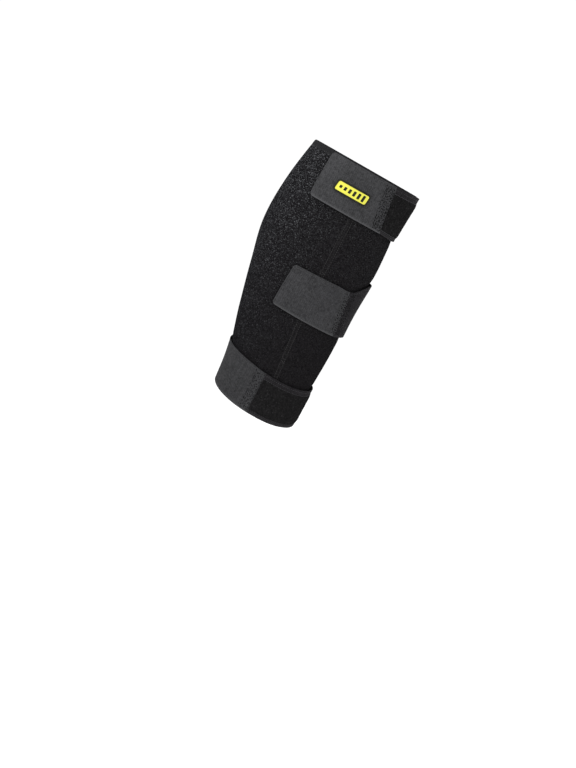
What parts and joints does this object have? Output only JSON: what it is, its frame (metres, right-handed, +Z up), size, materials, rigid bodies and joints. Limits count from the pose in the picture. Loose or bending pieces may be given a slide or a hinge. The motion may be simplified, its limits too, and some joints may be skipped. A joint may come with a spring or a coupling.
{
  "type": "calf compression sleeve",
  "caption": "Tapered neoprene calf sleeve in its worn form, a wrap open at both ends, closed round the leg by flat elastic straps with hook tabs.",
  "frame": {"origin": "on the leg's axis, level with the lowest place of the sleeve's lower edge, where a leg fills the hollow", "axes": "+Z up the leg along the shin, +X forward to the shin, -Y to the outer side of a right leg, +Y to its inner side"},
  "size_m": [0.1494, 0.1342, 0.3],
  "materials": {
    "neoprene": "black loop-faced neoprene with fine light flecks",
    "elastic": "dark grey woven elastic, matt, with fine ribs",
    "hook": "black moulded hook tape",
    "loop": "black brushed loop tape",
    "badge": "soft yellow moulded rubber with a black edge"
  },
  "bodies": {
    "root": {"neoprene_wrap": "neoprene", "top_strap": "elastic", "top_hook_pad": "hook", "middle_strap": "elastic", "middle_hook_pad": "hook", "bottom_strap": "elastic", "bottom_hook_pad": "hook", "top_loop_patch": "loop", "bottom_loop_patch": "loop", "badge": "badge"}
  },
  "joints": []
}
